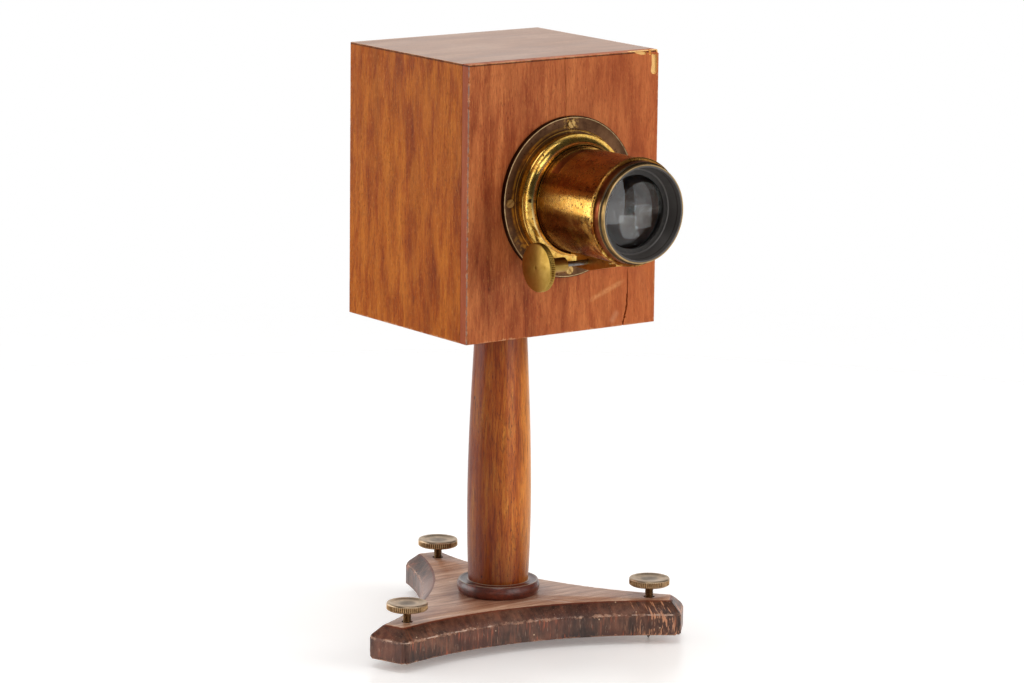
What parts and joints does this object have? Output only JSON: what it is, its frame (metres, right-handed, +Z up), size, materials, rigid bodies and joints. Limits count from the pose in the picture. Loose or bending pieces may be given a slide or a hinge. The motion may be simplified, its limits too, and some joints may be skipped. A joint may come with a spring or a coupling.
{
  "type": "view camera",
  "caption": "Wooden box camera with a rack-focused portrait lens and a hinged rear focusing screen, on a turned column and a three-armed base with levelling screws.",
  "frame": {"origin": "on the column's axis, at the underside of the base plate", "axes": "+Z up the column, -Y out of the lens, +X to the right of a viewer who looks along +Y at the lens"},
  "size_m": [0.187, 0.2269, 0.329],
  "materials": {
    "box_wood": "satin",
    "top_wood": "satin",
    "column_wood": "gloss",
    "base_wood": "satin",
    "dark_wood": "gloss",
    "brass": "satin",
    "lacquered_brass": "gloss",
    "bronzed_brass": "satin",
    "dull_brass": "satin",
    "satin_brass": "satin",
    "red_lacquer": "satin",
    "blackened_brass": "matte",
    "steel": "satin",
    "lens_glass": "gloss",
    "ground_glass": "matte"
  },
  "bodies": {
    "base": {"base_plate": "base_wood", "screw_bushes": "brass", "pivot_washer": "steel"},
    "point_1": {"screw_point_1": "steel"},
    "screw_1": {"levelling_screw_1": "dull_brass"},
    "point_2": {"screw_point_2": "steel"},
    "screw_2": {"levelling_screw_2": "dull_brass"},
    "point_3": {"screw_point_3": "steel"},
    "screw_3": {"levelling_screw_3": "dull_brass"},
    "camera": {"pivot_screw": "brass", "pivot_bush": "brass", "foot_ring": "dark_wood", "column": "column_wood", "column_screw": "steel", "column_washer": "brass", "bottom_board": "box_wood", "top_board": "top_wood", "left_board": "box_wood", "right_board": "box_wood", "front_board": "box_wood", "stop_frame": "dark_wood", "hinge_leaves_box": "brass", "hinge_pins": "steel", "hinge_screws_box": "brass", "button_screw": "brass", "flange": "bronzed_brass", "flange_screws": "dull_brass", "jacket": "lacquered_brass", "pinion_housing": "lacquered_brass", "housing_screws": "dull_brass"},
    "rear_door": {"screen_frame": "box_wood", "focusing_screen": "ground_glass", "screen_clips": "brass", "clip_screws": "brass", "door_pull": "brass", "hinge_leaves_door": "brass", "hinge_screws_door": "brass"},
    "catch": {"turn_button": "brass"},
    "pinion": {"pinion": "steel", "focus_knob": "satin_brass"},
    "lens": {"lens_tube": "red_lacquer", "rack": "brass", "front_cell": "dull_brass", "front_ring": "blackened_brass", "front_crown": "lens_glass", "front_flint": "lens_glass", "rear_cell": "blackened_brass", "rear_flint": "lens_glass", "rear_spacer": "blackened_brass", "rear_crown": "lens_glass", "rear_ring": "blackened_brass"}
  },
  "joints": [
    {"name": "pan", "type": "hinge", "parent": "base", "child": "camera", "pos_m": [0, 0, 0.0185], "axis": [0, 0, 1], "continuous": true},
    {"name": "point_1_travel", "type": "slide", "parent": "base", "child": "point_1", "axis": [0, 0, 1], "range_m": [-0.0055, 0.005]},
    {"name": "screw_1_turn", "type": "hinge", "parent": "point_1", "child": "screw_1", "pos_m": [0.01665, 0.08259, 0], "axis": [0, 0, 1], "range_deg": [-1981, 1801]},
    {"name": "point_2_travel", "type": "slide", "parent": "base", "child": "point_2", "axis": [0, 0, 1], "range_m": [-0.0055, 0.005]},
    {"name": "screw_2_turn", "type": "hinge", "parent": "point_2", "child": "screw_2", "pos_m": [-0.07985, -0.02687, 0], "axis": [0, 0, 1], "range_deg": [-1981, 1801]},
    {"name": "point_3_travel", "type": "slide", "parent": "base", "child": "point_3", "axis": [0, 0, 1], "range_m": [-0.0055, 0.005]},
    {"name": "screw_3_turn", "type": "hinge", "parent": "point_3", "child": "screw_3", "pos_m": [0.0632, -0.05572, 0], "axis": [0, 0, 1], "range_deg": [-1981, 1801]},
    {"name": "focus", "type": "slide", "parent": "camera", "child": "lens", "axis": [0, -1, 0], "range_m": [-0.002, 0.02]},
    {"name": "pinion_turn", "type": "hinge", "parent": "camera", "child": "pinion", "pos_m": [0.0025, -0.0793, 0.2168], "axis": [1, 0, 0], "range_deg": [-39, 383]},
    {"name": "rear_door_swing", "type": "hinge", "parent": "camera", "child": "rear_door", "pos_m": [0.055, 0.058, 0.249], "axis": [0, 0, -1], "range_deg": [0, 170]},
    {"name": "catch_turn", "type": "hinge", "parent": "camera", "child": "catch", "pos_m": [-0.0572, 0.0563, 0.249], "axis": [0, -1, 0], "range_deg": [0, 90]}
  ],
  "couplings": [
    {"joint": "screw_1_turn", "follows": "point_1_travel", "rad_per_m": 6283.2},
    {"joint": "screw_2_turn", "follows": "point_2_travel", "rad_per_m": 6283.2},
    {"joint": "screw_3_turn", "follows": "point_3_travel", "rad_per_m": 6283.2},
    {"joint": "pinion_turn", "follows": "focus", "rad_per_m": 333.33}
  ]
}
